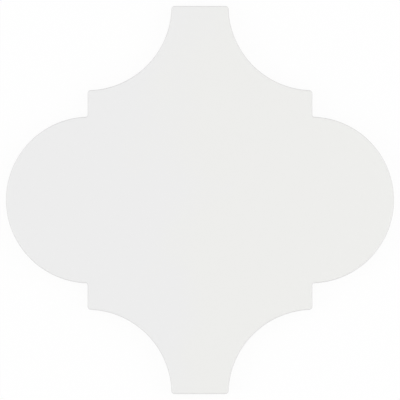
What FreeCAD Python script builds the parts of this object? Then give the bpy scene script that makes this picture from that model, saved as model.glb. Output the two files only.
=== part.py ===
"""Arabesque lantern tile: one porcelain tile, pressed and fired as a single piece and glazed on its face.

Seen from above, a round lobe points each way along X and a square-ended neck each way along Y. A hollow
quarter-round flank runs from each neck to a stepped shoulder beside the lobe, so that the lobes of the
neighbouring tiles nest in the flanks. The back has shallow pressed pockets that key the adhesive, with
straight ribs left standing between them and a plain border along the outline.

Millimetres, +Z up. The origin is the middle of the back, on the plane that the ribs rest on.
"""

import FreeCAD, Part
import math
import os

from FreeCAD import Vector

# Overall size
TILE_WIDTH = 200.0  # lobe tip to lobe tip, along X
TILE_LENGTH = 200.0  # neck end to neck end, along Y
TILE_THICKNESS = 8.5  # ribs to glazed face, along Z

# Outline
LOBE_RADIUS = 42.9
FLANK_RADIUS = 43.5
NECK_WIDTH = 29.4  # across a neck's square end, between its sharp corners
SHOULDER_WIDTH = 115.8  # between the shoulder faces, along X
SHOULDER_LENGTH = 113.1  # between the sharp outer corners of the shoulders, along Y
OUTER_CORNER_RADIUS = 1.6  # rounds the neck and shoulder corners
INNER_CORNER_RADIUS = 1.0  # rounds the nook between a shoulder and its lobe

# Edges
ARRIS_RADIUS = 0.8  # round edge of the glazed face
BACK_CHAMFER = 0.5  # bevelled edge of the back

# Key pockets in the back
KEY_PITCH = 12.5  # from rib to rib, both ways
RIB_WIDTH = 2.5  # left standing between two pockets' mouths
KEY_DEPTH = 0.6
KEY_DRAFT = 0.5  # how far a pocket's wall leans in from mouth to floor
BACK_BORDER = 6.0  # plain width between the outline and the pockets
LEAST_POCKET = 0.2  # a pocket that the border leaves less of than this share isn't pressed

ORIGIN = Vector(0, 0, 0)
X_AXIS = Vector(1, 0, 0)
Y_AXIS = Vector(0, 1, 0)
Z_AXIS = Vector(0, 0, 1)
TOLERANCE = 1e-6


def leg(hypotenuse, other_leg):
    """The third side of a right-angled triangle."""
    return math.sqrt(hypotenuse**2 - other_leg**2)


def line(start, end):
    return Part.LineSegment(start, end).toShape()


def arc(centre, start, end):
    """The shorter arc about centre from start to end."""
    towards_middle = (start + end - centre * 2).normalize()
    radius = centre.distanceToPoint(start)
    return Part.Arc(start, centre + towards_middle * radius, end).toShape()


def touch(centre, radius, other_centre):
    """Where a circle meets another circle that is tangent to it."""
    return centre + (other_centre - centre).normalize() * radius


def flank_centre():
    """Centre of the flank's circle, which passes through the sharp neck and shoulder corners."""
    neck_corner = Vector(NECK_WIDTH / 2, TILE_LENGTH / 2)
    shoulder_corner = Vector(SHOULDER_WIDTH / 2, SHOULDER_LENGTH / 2)
    chord = shoulder_corner - neck_corner
    outwards = Vector(-chord.y, chord.x).normalize()
    return (neck_corner + shoulder_corner) * 0.5 + outwards * leg(FLANK_RADIUS, chord.Length / 2)


def quarter_points():
    """Arc centres and edge ends of the quarter of the outline that faces +X and +Y, by name."""
    neck_y = TILE_LENGTH / 2
    shoulder_x = SHOULDER_WIDTH / 2
    lobe_tip = Vector(TILE_WIDTH / 2, 0)
    lobe = lobe_tip - X_AXIS * LOBE_RADIUS
    flank = flank_centre()

    # Each corner's round is tangent to a straight edge and to the flank, or to the lobe.
    flank_reach = FLANK_RADIUS + OUTER_CORNER_RADIUS
    lobe_reach = LOBE_RADIUS + INNER_CORNER_RADIUS
    neck_round_y = neck_y - OUTER_CORNER_RADIUS
    neck_round = Vector(flank.x - leg(flank_reach, flank.y - neck_round_y), neck_round_y)
    shoulder_round_x = shoulder_x - OUTER_CORNER_RADIUS
    shoulder_round = Vector(shoulder_round_x, flank.y - leg(flank_reach, flank.x - shoulder_round_x))
    nook_round_x = shoulder_x + INNER_CORNER_RADIUS
    nook_round = Vector(nook_round_x, leg(lobe_reach, nook_round_x - lobe.x))
    return {
        "neck_end": Vector(neck_round.x, neck_y),
        "neck_round": neck_round,
        "flank_top": touch(flank, FLANK_RADIUS, neck_round),
        "flank": flank,
        "flank_foot": touch(flank, FLANK_RADIUS, shoulder_round),
        "shoulder_round": shoulder_round,
        "shoulder_top": Vector(shoulder_x, shoulder_round.y),
        "shoulder_foot": Vector(shoulder_x, nook_round.y),
        "nook_round": nook_round,
        "lobe_root": touch(lobe, LOBE_RADIUS, nook_round),
        "lobe": lobe,
        "lobe_tip": lobe_tip,
    }


def outline_face():
    """The whole outline as a flat face on the plane of the back."""
    quarter = quarter_points()
    edges = []
    for side in (1, -1):
        for end in (1, -1):
            at = {name: Vector(side * point.x, end * point.y) for name, point in quarter.items()}
            edges += [
                arc(at["neck_round"], at["neck_end"], at["flank_top"]),
                arc(at["flank"], at["flank_top"], at["flank_foot"]),
                arc(at["shoulder_round"], at["flank_foot"], at["shoulder_top"]),
                line(at["shoulder_top"], at["shoulder_foot"]),
                arc(at["nook_round"], at["shoulder_foot"], at["lobe_root"]),
                arc(at["lobe"], at["lobe_root"], at["lobe_tip"]),
            ]
    neck_end = quarter["neck_end"]
    for end in (1, -1):
        edges.append(line(Vector(-neck_end.x, end * neck_end.y), Vector(neck_end.x, end * neck_end.y)))
    return Part.Face(Part.Wire(Part.__sortEdges__(edges)))


def edges_at_height(solid, height):
    """Edges that lie flat at one height."""
    return [
        edge
        for edge in solid.Edges
        if abs(edge.BoundBox.ZMin - height) < TOLERANCE and abs(edge.BoundBox.ZMax - height) < TOLERANCE
    ]


def pressed_blank(outline):
    """The tile before its back is keyed: a plate with a round arris and a bevelled back edge."""
    plate = outline.extrude(Z_AXIS * TILE_THICKNESS)
    eased = plate.makeFillet(ARRIS_RADIUS, edges_at_height(plate, TILE_THICKNESS))
    return eased.makeChamfer(BACK_CHAMFER, edges_at_height(eased, 0))


def back_field(outline):
    """A plug inside the back's border that ends at the pockets' floor, with a rim that leans in."""
    plug = outline.makeOffset2D(-BACK_BORDER).extrude(Z_AXIS * 2 * KEY_DEPTH)
    plug.translate(Z_AXIS * -KEY_DEPTH)
    return plug.makeChamfer(KEY_DEPTH, KEY_DRAFT, edges_at_height(plug, KEY_DEPTH))


def rib(length):
    """One rib along Y, with sides that lean out from its top on the back to the pockets' floor."""
    top = RIB_WIDTH / 2
    side = [Vector(top, 0, -KEY_DEPTH), Vector(top, 0, 0), Vector(top + KEY_DRAFT, 0, KEY_DEPTH)]
    other_side = [Vector(-point.x, 0, point.z) for point in reversed(side)]
    section = Part.Face(Part.makePolygon([*side, *other_side, side[0]]))
    return section.extrude(Y_AXIS * length).translated(Y_AXIS * -length / 2)


def ribs():
    """Straight ribs both ways across the whole back, with one on each axis."""
    columns = math.ceil(TILE_WIDTH / 2 / KEY_PITCH)
    rows = math.ceil(TILE_LENGTH / 2 / KEY_PITCH)
    along_y = rib(TILE_LENGTH)
    along_x = rib(TILE_WIDTH).rotated(ORIGIN, Z_AXIS, 90)
    down = [along_y.translated(X_AXIS * column * KEY_PITCH) for column in range(-columns, columns + 1)]
    across = [along_x.translated(Y_AXIS * row * KEY_PITCH) for row in range(-rows, rows + 1)]
    return down + across


def key_pockets(outline):
    """What the ribs leave of the back's field, without the smallest scraps along its border."""
    pockets = back_field(outline).cut(ribs()).Solids
    whole = max(pocket.Volume for pocket in pockets)
    return [pocket for pocket in pockets if pocket.Volume >= LEAST_POCKET * whole]


def tile():
    outline = outline_face()
    return pressed_blank(outline).cut(Part.Compound(key_pockets(outline)))


os.makedirs("parts", exist_ok=True)
tile().exportStep("parts/tile.step")
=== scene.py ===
import math
from collections import Counter

import bmesh
import bpy
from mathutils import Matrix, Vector, kdtree, noise


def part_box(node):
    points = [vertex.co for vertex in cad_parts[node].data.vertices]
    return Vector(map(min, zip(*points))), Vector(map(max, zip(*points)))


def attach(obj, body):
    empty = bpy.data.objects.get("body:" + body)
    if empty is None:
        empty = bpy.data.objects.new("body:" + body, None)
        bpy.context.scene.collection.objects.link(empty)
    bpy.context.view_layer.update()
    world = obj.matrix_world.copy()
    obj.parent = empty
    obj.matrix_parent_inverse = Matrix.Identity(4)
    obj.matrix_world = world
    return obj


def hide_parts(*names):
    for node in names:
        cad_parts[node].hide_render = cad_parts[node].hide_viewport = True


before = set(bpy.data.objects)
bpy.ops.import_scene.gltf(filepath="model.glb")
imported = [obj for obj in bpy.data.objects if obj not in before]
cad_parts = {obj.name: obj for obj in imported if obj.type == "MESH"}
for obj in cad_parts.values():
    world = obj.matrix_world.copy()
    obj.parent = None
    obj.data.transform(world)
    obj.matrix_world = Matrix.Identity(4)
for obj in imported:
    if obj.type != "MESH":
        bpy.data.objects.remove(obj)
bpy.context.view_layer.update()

# The tile
# One porcelain piece, pressed dry in a lantern-shaped die, glazed a matte off-white on its face and fired.
# The glaze runs out part of the way down the sides. The keyed back is bare, with kiln wash on its ribs.
tile_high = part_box("tile")[1]
half_width = tile_high.x
half_length = tile_high.y
face_height = tile_high.z
lobe_radius = 0.0429
flank_radius = 0.0435
neck_half_width = 0.0147
shoulder_half_width = 0.0579
shoulder_half_length = 0.05655
outer_corner_radius = 0.0016
inner_corner_radius = 0.0010
merge_gap = 1e-6


def leg(hypotenuse, other_leg):
    """The third side of a right-angled triangle."""
    return math.sqrt(hypotenuse**2 - other_leg**2)


def touch(centre, radius, other_centre):
    """Where a circle meets another circle that is tangent to it."""
    return centre + (other_centre - centre).normalized() * radius


def draw_line(shape, vert, end):
    """Carries an outline on from its last vertex, straight to an end point."""
    drawn = bmesh.ops.extrude_vert_indiv(shape, verts=[vert])["verts"][0]
    drawn.co = end
    return drawn


def draw_arc(shape, vert, centre, end, steps):
    """Carries an outline on from its last vertex, round a centre to an end point."""
    start_arm = vert.co - centre
    end_arm = end - centre
    angle = math.atan2(start_arm.cross(end_arm).z, start_arm.dot(end_arm))
    spun = bmesh.ops.spin(shape, geom=[vert], cent=centre, axis=(0, 0, 1), angle=angle, steps=steps)
    return next(item for item in spun["geom_last"] if isinstance(item, bmesh.types.BMVert))


def everything(shape):
    return shape.verts[:] + shape.edges[:] + shape.faces[:]


def reflect(shape):
    """Reflects a quarter both ways into the whole."""
    for mirror_axis in ("X", "Y"):
        bmesh.ops.mirror(shape, geom=everything(shape), axis=mirror_axis, merge_dist=merge_gap)


# Arc centres of the quarter that faces right and up: each corner's round is tangent to its two neighbours
lobe_tip = Vector((half_width, 0, 0))
lobe_centre = Vector((half_width - lobe_radius, 0, 0))
neck_corner = Vector((neck_half_width, half_length, 0))
shoulder_corner = Vector((shoulder_half_width, shoulder_half_length, 0))
chord = shoulder_corner - neck_corner
outwards = Vector((-chord.y, chord.x, 0)).normalized()
flank_centre = (neck_corner + shoulder_corner) / 2 + outwards * leg(flank_radius, chord.length / 2)
flank_reach = flank_radius + outer_corner_radius
neck_round_y = half_length - outer_corner_radius
neck_round_x = flank_centre.x - leg(flank_reach, flank_centre.y - neck_round_y)
neck_round = Vector((neck_round_x, neck_round_y, 0))
shoulder_round_x = shoulder_half_width - outer_corner_radius
shoulder_round_y = flank_centre.y - leg(flank_reach, flank_centre.x - shoulder_round_x)
shoulder_round = Vector((shoulder_round_x, shoulder_round_y, 0))
nook_round_x = shoulder_half_width + inner_corner_radius
nook_round_y = leg(lobe_radius + inner_corner_radius, nook_round_x - lobe_centre.x)
nook_round = Vector((nook_round_x, nook_round_y, 0))

# The quarter outline from the lobe's tip to the middle of the neck, then the whole by reflection
bow_steps = 64
corner_steps = 10
tile = bmesh.new()
pen = tile.verts.new(lobe_tip)
pen = draw_arc(tile, pen, lobe_centre, touch(lobe_centre, lobe_radius, nook_round), bow_steps)
pen = draw_arc(tile, pen, nook_round, Vector((shoulder_half_width, nook_round_y, 0)), corner_steps)
pen = draw_line(tile, pen, Vector((shoulder_half_width, shoulder_round_y, 0)))
pen = draw_arc(tile, pen, shoulder_round, touch(flank_centre, flank_radius, shoulder_round), corner_steps)
pen = draw_arc(tile, pen, flank_centre, touch(flank_centre, flank_radius, neck_round), bow_steps)
pen = draw_arc(tile, pen, neck_round, Vector((neck_round_x, half_length, 0)), corner_steps)
draw_line(tile, pen, Vector((0, half_length, 0)))
reflect(tile)
outline = [vert.co.copy() for vert in tile.verts]

# The blank: a wall as wide as the outline, with a round arris on the face and a bevelled edge on the back
arris_radius = 0.0008
arris_segments = 6
back_bevel = 0.0005
back_bevel_segments = 2
wall_ring_gap = 0.0004
arris_foot = face_height - arris_radius


def close_panel(edges):
    """The flat panel that closes a loop of the tile's edges."""
    return bmesh.ops.contextual_create(tile, geom=edges)["faces"][0]


def step_panel(shape, panel, inwards, level):
    """Sets a flat panel in from its edge and moves it to a level, which leaves a ring of faces round it."""
    bmesh.ops.inset_region(shape, faces=[panel], thickness=inwards, use_boundary=True, use_even_offset=True)
    for vert in panel.verts:
        vert.co.z = level


def roll_edge(panel, level, radius, segments):
    """Rolls the edge of one of the tile's panels over in a quarter round that ends at a level."""
    start_level = panel.verts[0].co.z
    rolled = 0
    for segment in range(1, segments + 1):
        angle = math.pi / 2 * segment / segments
        inwards = radius * (1 - math.cos(angle))
        step_panel(tile, panel, inwards - rolled, start_level + (level - start_level) * math.sin(angle))
        rolled = inwards


# A ring on the wall close to each edge keeps the wall between them shaded straight
bmesh.ops.translate(tile, verts=tile.verts[:], vec=(0, 0, back_bevel))
face_panel = close_panel(tile.edges[:])
for ring_level in (back_bevel + wall_ring_gap, arris_foot - wall_ring_gap, arris_foot):
    step_panel(tile, face_panel, 0, ring_level)
roll_edge(face_panel, face_height, arris_radius, arris_segments)
back_panel = close_panel([edge for edge in tile.edges if edge.is_boundary])
roll_edge(back_panel, 0, back_bevel, back_bevel_segments)

score_tolerance = 0.00002


def score(shape, pieces, lines):
    """Cuts a flat part of a shape along straight lines both ways, and returns what it is then made of."""
    for direction in (Vector((1, 0, 0)), Vector((0, 1, 0))):
        for line in lines:
            pieces = bmesh.ops.bisect_plane(
                shape, geom=pieces, dist=score_tolerance, plane_co=direction * line, plane_no=direction
            )["geom"]
    return pieces


# The face: flat to the eye, with the slow ripple of a fired glaze that settles towards the arris
panel_margin = 0.0005
face_cell = 0.004
ripple_depth = 0.00006
ripple_length = 0.022
ripple_settles = 0.012
face_cells = int(half_width / face_cell)
face_lines = [cell * face_cell for cell in range(-face_cells, face_cells + 1)]
step_panel(tile, face_panel, panel_margin, face_height)
face_pieces = score(tile, [face_panel, *face_panel.edges, *face_panel.verts], face_lines)
rim = kdtree.KDTree(len(outline))
for index, point in enumerate(outline):
    rim.insert(point, index)
rim.balance()
for vert in {item for item in face_pieces if isinstance(item, bmesh.types.BMVert)}:
    flat_place = Vector((vert.co.x, vert.co.y, 0))
    away = min(rim.find(flat_place)[2] / ripple_settles, 1)
    ripple = (1 + noise.noise(flat_place / ripple_length)) / 2
    vert.co.z -= ripple_depth * ripple * away**2

# The back's field, a quarter at first: a shallow tray that keeps a plain border along the outline
key_pitch = 0.0125
key_depth = 0.0006
key_draft = 0.0005
key_softness = 0.00025
rib_half_width = 0.00125
back_border = 0.006
least_pocket_share = 0.2
field_steps = 28
slope_steps = 3
slope_width = key_draft + 2 * key_softness
field_margin = back_border - key_softness
field_flank_radius = flank_radius + field_margin
field_shoulder_x = shoulder_half_width - field_margin
field_shoulder_y = flank_centre.y - leg(field_flank_radius, flank_centre.x - field_shoulder_x)
field_neck_y = half_length - field_margin
field_neck_x = flank_centre.x - leg(field_flank_radius, flank_centre.y - field_neck_y)
field_root = touch(lobe_centre, lobe_radius - field_margin, nook_round)
field = bmesh.new()
field_middle = field.verts.new((0, 0, 0))
pen = draw_line(field, field_middle, Vector((half_width - field_margin, 0, 0)))
pen = draw_arc(field, pen, lobe_centre, field_root, field_steps)
pen = draw_arc(field, pen, nook_round, Vector((field_shoulder_x, nook_round_y, 0)), corner_steps)
pen = draw_line(field, pen, Vector((field_shoulder_x, field_shoulder_y, 0)))
pen = draw_arc(field, pen, flank_centre, Vector((field_neck_x, field_neck_y, 0)), field_steps)
pen = draw_line(field, pen, Vector((0, field_neck_y, 0)))
bmesh.ops.contextual_create(field, geom=[pen, field_middle])
field_floor = bmesh.ops.contextual_create(field, geom=field.edges[:])["faces"][0]


def slope_depth(share):
    """How deep a pocket's wall has come at a share of its width, level at its edge and at its foot."""
    share = min(max(share, 0), 1)
    return key_depth * (share**2 * (3 - 2 * share))


slope_shares = [step / slope_steps for step in range(slope_steps + 1)]
for share in slope_shares[1:]:
    step_panel(field, field_floor, slope_width / slope_steps, slope_depth(share))

# The ribs that part the field into pockets, with one on each axis
slope_starts = rib_half_width - key_softness
rib_places = [rib * key_pitch for rib in range(math.ceil(half_width / key_pitch) + 1)]
slope_lines = [
    rib_place + side * (slope_starts + share * slope_width)
    for rib_place in rib_places
    for side in (-1, 1)
    for share in slope_shares
]
score(field, everything(field), [line for line in slope_lines if line > 0])


def clear_of_ribs(point):
    """How far a point of the back lies from where the nearest rib's slope starts."""
    gaps = [abs(along - round(along / key_pitch) * key_pitch) for along in point.xy]
    return min(gaps) - slope_starts


def pocket_at(point):
    """The column and row of the pocket that a point of the back lies in."""
    return math.floor(point.x / key_pitch), math.floor(point.y / key_pitch)


for vert in field.verts:
    vert.co.z = min(vert.co.z, slope_depth(clear_of_ribs(vert.co) / slope_width))

# Scraps of pockets along the border stay level with it
pocket_room = Counter()
for face in field.faces:
    face.normal_update()
    face_middle = face.calc_center_median()
    pocket_room[pocket_at(face_middle)] += face.calc_area() * abs(face.normal.z) * face_middle.z
least_room = least_pocket_share * max(pocket_room.values())
for vert in field.verts:
    if pocket_room[pocket_at(vert.co)] < least_room:
        vert.co.z = 0
reflect(field)

# The field set into the back, and the border filled in round it
field_mesh = bpy.data.meshes.new("back_field")
field.to_mesh(field_mesh)
field.free()
step_panel(tile, back_panel, panel_margin, 0)
bmesh.ops.delete(tile, geom=[back_panel], context="FACES_ONLY")
tile.from_mesh(field_mesh)
bpy.data.meshes.remove(field_mesh)
open_edges = [edge for edge in tile.edges if edge.is_boundary]
bmesh.ops.triangle_fill(tile, edges=open_edges, use_beauty=True)


def from_upper_left(face):
    """How far a face lies from the upper left towards the lower right."""
    middle = face.calc_center_median()
    return middle.x - middle.y


# The faces in an order with which a map unwrapped from them keeps the arris clear of the map's border
tile.faces.sort(key=from_upper_left)

# Smooth all over, apart from the flats of the back
straight_down = -0.999
bmesh.ops.recalc_face_normals(tile, faces=tile.faces[:])
for face in tile.faces:
    face.smooth = face.normal.z > straight_down
tile_mesh = bpy.data.meshes.new("glazed_tile")
tile.to_mesh(tile_mesh)
tile.free()
glazed_tile = bpy.data.objects.new("glazed_tile", tile_mesh)
bpy.context.scene.collection.objects.link(glazed_tile)

# The finish: one material, in which height tells the glaze, the bare body and the kiln wash apart
glaze = bpy.data.materials.new("white_matte_glaze")
glaze.use_nodes = True
nodes = glaze.node_tree.nodes
links = glaze.node_tree.links
shader = nodes["Principled BSDF"]
place = nodes.new("ShaderNodeTexCoord").outputs["Object"]
split_place = nodes.new("ShaderNodeSeparateXYZ")
links.new(place, split_place.inputs["Vector"])
across = split_place.outputs["X"]
height = split_place.outputs["Z"]


def put(socket, value):
    """Sets a socket to a plain value, or links it to another node's output."""
    if isinstance(value, bpy.types.NodeSocket):
        links.new(value, socket)
    else:
        socket.default_value = value


def scaled_place(factors):
    """The place on the tile, flattened or drawn out along its axes."""
    scaling = nodes.new("ShaderNodeVectorMath")
    scaling.operation = "MULTIPLY"
    put(scaling.inputs[0], place)
    put(scaling.inputs[1], factors)
    return scaling.outputs["Vector"]


def mottle(patch, detail=2.0, where=place):
    """Cloudy noise with patches of about the given size in metres, from 0 to 1."""
    cloud = nodes.new("ShaderNodeTexNoise")
    put(cloud.inputs["Scale"], 1 / patch)
    put(cloud.inputs["Detail"], detail)
    put(cloud.inputs["Vector"], where)
    return cloud.outputs["Fac"]


def reckon(operation, first, second, third=0.0):
    """One step of arithmetic on plain values and other nodes' outputs."""
    sum_node = nodes.new("ShaderNodeMath")
    sum_node.operation = operation
    for socket, value in zip(sum_node.inputs, (first, second, third)):
        put(socket, value)
    return sum_node.outputs["Value"]


def ease(value, start, end):
    """A smooth step from 0 at start to 1 at end."""
    step = nodes.new("ShaderNodeMapRange")
    step.interpolation_type = "SMOOTHSTEP"
    put(step.inputs["Value"], value)
    put(step.inputs["From Min"], min(start, end))
    put(step.inputs["From Max"], max(start, end))
    put(step.inputs["To Min"], 0 if start < end else 1)
    put(step.inputs["To Max"], 1 if start < end else 0)
    return step.outputs["Result"]


def lay(mask, under, over, kind="RGBA"):
    """One colour or value laid over another where the mask is 1."""
    mix = nodes.new("ShaderNodeMix")
    mix.data_type = kind
    sockets = [socket for socket in mix.inputs if socket.enabled]
    for socket, value in zip(sockets, (mask, under, over)):
        put(socket, value)
    return next(socket for socket in mix.outputs if socket.enabled)


# Where the glaze ends: a line on the sides that wanders and drips, with a spray of fine drops below it
glaze_line = 0.0042
line_softness = 0.0002
line_wander = 0.0036
wander_length = 0.030
drip_fall = 0.0016
drip_width = 0.0045
spray_fall = 0.0022
spray_drop = 0.00045
spray_crowding = 0.3
spray_edge = (0.76, 0.82)
plan = scaled_place((1, 1, 0))
lowest_wander = -glaze_line - line_wander / 2
wander = reckon("MULTIPLY_ADD", mottle(wander_length, where=plan), line_wander, lowest_wander)
drips = reckon("MULTIPLY_ADD", mottle(drip_width, where=plan), drip_fall, -drip_fall / 2)
above_line = reckon("ADD", reckon("ADD", height, wander), drips)
run_out = ease(above_line, -line_softness, line_softness)
near_line = ease(above_line, -spray_fall, 0)
crowding = reckon("MULTIPLY_ADD", near_line, spray_crowding, mottle(spray_drop, detail=1.0))
spray = reckon("MULTIPLY", ease(crowding, *spray_edge), near_line)
glazed = reckon("MAXIMUM", run_out, spray)

# The glaze's colour: a trace warmer on the right, greyer over the arris (partly where the glaze thins,
# partly painted shade for the rounded edge), buff along its end
glaze_white = (0.847, 0.847, 0.847, 1)
glaze_warm = (0.851, 0.851, 0.834, 1)
# The arris's grey is partly the glaze thinning over the edge and partly painted shade that darkens the
# rounded edge
glaze_thin_and_shaded = (0.700, 0.699, 0.695, 1)
glaze_fringe = (0.700, 0.685, 0.650, 1)
warm_edge = (-0.038, 0.012)
warm_drift = 0.11
warm_patch = 0.045
edge_darkening_starts = 0.00003
edge_darkest = 0.0004
edge_darkening_eases = 0.5
fringe_height = 0.0018
drift = reckon("MULTIPLY_ADD", mottle(warm_patch), warm_drift, -warm_drift / 2)
warm_side = ease(reckon("ADD", across, drift), *warm_edge)
# Where the arris is greyed: real thinning of the glaze, plus painted shade along the rounded edge
over_arris = ease(height, face_height - edge_darkening_starts, face_height - edge_darkest)
below_arris = ease(height, face_height - arris_radius, face_height - 2 * arris_radius)
thinned_and_shaded = reckon("MULTIPLY_ADD", below_arris, -edge_darkening_eases, over_arris)
above_fringe = ease(above_line, 0, fringe_height)
glaze_colour = lay(warm_side, glaze_white, glaze_warm)
glaze_colour = lay(thinned_and_shaded, glaze_colour, glaze_thin_and_shaded)
glaze_colour = lay(above_fringe, glaze_fringe, glaze_colour)

# The body's colour: fine grain, a few iron specks, and the wash that the kiln's rollers left on the ribs
body_clay = (0.610, 0.580, 0.525, 1)
body_dark = (0.530, 0.500, 0.445, 1)
iron_speck = (0.330, 0.290, 0.240, 1)
kiln_wash = (0.760, 0.750, 0.725, 1)
grain_size = 0.00035
grain_edge = (0.45, 0.75)
speck_spacing = 0.004
largest_speck = 0.00028
speck_softness = 0.2
rib_top_edge = (0.00012, 0.00002)
wash_patch = 0.005
wash_stretch = 0.45
wash_grain = 0.35
wash_edge = (0.56, 0.82)
wash_cover = 0.7
along_rollers = scaled_place((1, wash_stretch, 1))
grain = mottle(grain_size, detail=3.0)
speck_cells = nodes.new("ShaderNodeTexVoronoi")
put(speck_cells.inputs["Scale"], 1 / speck_spacing)
put(speck_cells.inputs["Vector"], place)
speck_reach = largest_speck / speck_spacing
from_middle = reckon("MULTIPLY", speck_cells.outputs["Distance"], -1)
speck_depth = reckon("MULTIPLY_ADD", speck_cells.outputs["Color"], speck_reach, from_middle)
specks = ease(speck_depth, 0, speck_softness * speck_reach)
wash_left = reckon("MULTIPLY_ADD", grain, wash_grain, mottle(wash_patch, detail=5.0, where=along_rollers))
washed = reckon("MULTIPLY", ease(height, *rib_top_edge), ease(wash_left, *wash_edge))
body_colour = lay(ease(grain, *grain_edge), body_clay, body_dark)
body_colour = lay(specks, body_colour, iron_speck)
body_colour = lay(reckon("MULTIPLY", washed, wash_cover), body_colour, kiln_wash)
put(shader.inputs["Base Color"], lay(glazed, body_colour, glaze_colour))

# Gloss
glaze_roughness = 0.56
glaze_unevenness = 0.12
gloss_patch = 0.014
body_roughness = 0.78
body_unevenness = 0.15
glaze_gloss = reckon("MULTIPLY_ADD", mottle(gloss_patch, detail=3.0), glaze_unevenness, glaze_roughness)
body_gloss = reckon("MULTIPLY_ADD", grain, body_unevenness, body_roughness)
put(shader.inputs["Roughness"], lay(glazed, body_gloss, glaze_gloss, "FLOAT"))

# Relief, in metres: the glaze's stipple and its step at the line, and the body's grain and die marks
stipple_size = 0.0006
stipple_height = 0.000004
peel_size = 0.0045
peel_height = 0.000012
grain_height = 0.000030
die_mark_size = 0.0009
die_mark_height = 0.00006
wall_edge = (0.0007, 0.0010)
glaze_thickness = 0.00005
stipple = reckon("MULTIPLY", mottle(stipple_size, detail=1.0), stipple_height)
glaze_relief = reckon("MULTIPLY_ADD", mottle(peel_size, detail=1.0), peel_height, stipple)
die_marks = reckon("MULTIPLY", ease(height, *wall_edge), mottle(die_mark_size, where=plan))
body_relief = reckon("MULTIPLY_ADD", die_marks, die_mark_height, reckon("MULTIPLY", grain, grain_height))
relief = reckon("MULTIPLY_ADD", glazed, glaze_thickness, lay(glazed, body_relief, glaze_relief, "FLOAT"))
bump = nodes.new("ShaderNodeBump")
put(bump.inputs["Distance"], 1.0)
put(bump.inputs["Height"], relief)
put(shader.inputs["Normal"], bump.outputs["Normal"])
tile_mesh.materials.append(glaze)

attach(glazed_tile, "root")
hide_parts("tile")

# The floor
# A plain white sheet that the tile lies on. To the camera it is nearly all its own white, so that only a
# trace of the tile's shadow shows.
floor_half = 4.0
sheet_colour = (0.96, 0.96, 0.96, 1)
sheet_white = 1.0
sheet_white_share = 0.92
floor_shape = bmesh.new()
bmesh.ops.create_grid(floor_shape, x_segments=1, y_segments=1, size=floor_half)
floor_mesh = bpy.data.meshes.new("floor")
floor_shape.to_mesh(floor_mesh)
floor_shape.free()
floor = bpy.data.objects.new("floor", floor_mesh)
bpy.context.scene.collection.objects.link(floor)


def seen_directly(tree):
    """1 for the rays that show a thing, straight or in a reflection, and 0 for those that light by it."""
    ray = tree.nodes.new("ShaderNodeLightPath")
    seen = ray.outputs["Is Camera Ray"]
    for other_ray in ("Is Glossy Ray", "Is Transmission Ray"):
        either = tree.nodes.new("ShaderNodeMath")
        either.operation = "MAXIMUM"
        tree.links.new(seen, either.inputs[0])
        tree.links.new(ray.outputs[other_ray], either.inputs[1])
        seen = either.outputs["Value"]
    return seen


paper = bpy.data.materials.new("white_sheet")
paper.use_nodes = True
paper_tree = paper.node_tree
paper_tree.nodes.clear()
paper_white = paper_tree.nodes.new("ShaderNodeEmission")
paper_white.inputs["Strength"].default_value = sheet_white
paper_matt = paper_tree.nodes.new("ShaderNodeBsdfDiffuse")
paper_matt.inputs["Color"].default_value = sheet_colour
white_share = paper_tree.nodes.new("ShaderNodeMath")
white_share.operation = "MULTIPLY"
white_share.inputs[1].default_value = sheet_white_share
paper_tree.links.new(seen_directly(paper_tree), white_share.inputs[0])
paper_mix = paper_tree.nodes.new("ShaderNodeMixShader")
paper_tree.links.new(white_share.outputs["Value"], paper_mix.inputs["Fac"])
paper_tree.links.new(paper_matt.outputs["BSDF"], paper_mix.inputs[1])
paper_tree.links.new(paper_white.outputs["Emission"], paper_mix.inputs[2])
paper_out = paper_tree.nodes.new("ShaderNodeOutputMaterial")
paper_tree.links.new(paper_mix.outputs["Shader"], paper_out.inputs["Surface"])
floor_mesh.materials.append(paper)

# The light
# A pale room and two soft boxes low on the right and on the left, so that the arris is darkest at the
# necks. The right-hand box stands nearer, which makes that side of the face a trace brighter.
room_colour = (1, 1, 1, 1)
room_strength = 0.75
box_size = 1.6
soft_boxes = (
    ("right_box", Vector((1.3, 0, 0.75)), 7.45),
    ("left_box", Vector((-1.9, 0, 1.1)), 13.25),
)
world = bpy.data.worlds.new("pale_room")
bpy.context.scene.world = world
world.use_nodes = True
room_tree = world.node_tree
room = room_tree.nodes["Background"]
room.inputs["Color"].default_value = room_colour
room_white = room_tree.nodes.new("ShaderNodeMath")
room_white.operation = "MULTIPLY_ADD"
room_white.inputs[1].default_value = 1 - room_strength
room_white.inputs[2].default_value = room_strength
room_tree.links.new(seen_directly(room_tree), room_white.inputs[0])
room_tree.links.new(room_white.outputs["Value"], room.inputs["Strength"])
for box_name, box_place, box_power in soft_boxes:
    lamp = bpy.data.lights.new(box_name, "AREA")
    lamp.shape = "SQUARE"
    lamp.size = box_size
    lamp.energy = box_power
    soft_box = bpy.data.objects.new(box_name, lamp)
    soft_box.location = box_place
    soft_box.rotation_euler = box_place.to_track_quat("Z", "Y").to_euler()
    soft_box.visible_camera = False
    bpy.context.scene.collection.objects.link(soft_box)

# The camera
# It looks straight down on the face through a long lens, with the tile's width filling nearly all of the
# frame. The width is measured at the foot of the arris, where the tile is widest.
frame_pixels = 400
tile_pixels = 388
sensor_width = 36
camera_distance = 2.0
widest_height = face_height - arris_radius
view_width = 2 * half_width * frame_pixels / tile_pixels
eye = bpy.data.cameras.new("eye")
eye.sensor_width = sensor_width
eye.lens = sensor_width * camera_distance / view_width
camera = bpy.data.objects.new("camera", eye)
camera.location = (0, 0, widest_height + camera_distance)
bpy.context.scene.collection.objects.link(camera)
bpy.context.scene.camera = camera
bpy.context.scene.view_settings.view_transform = "Standard"
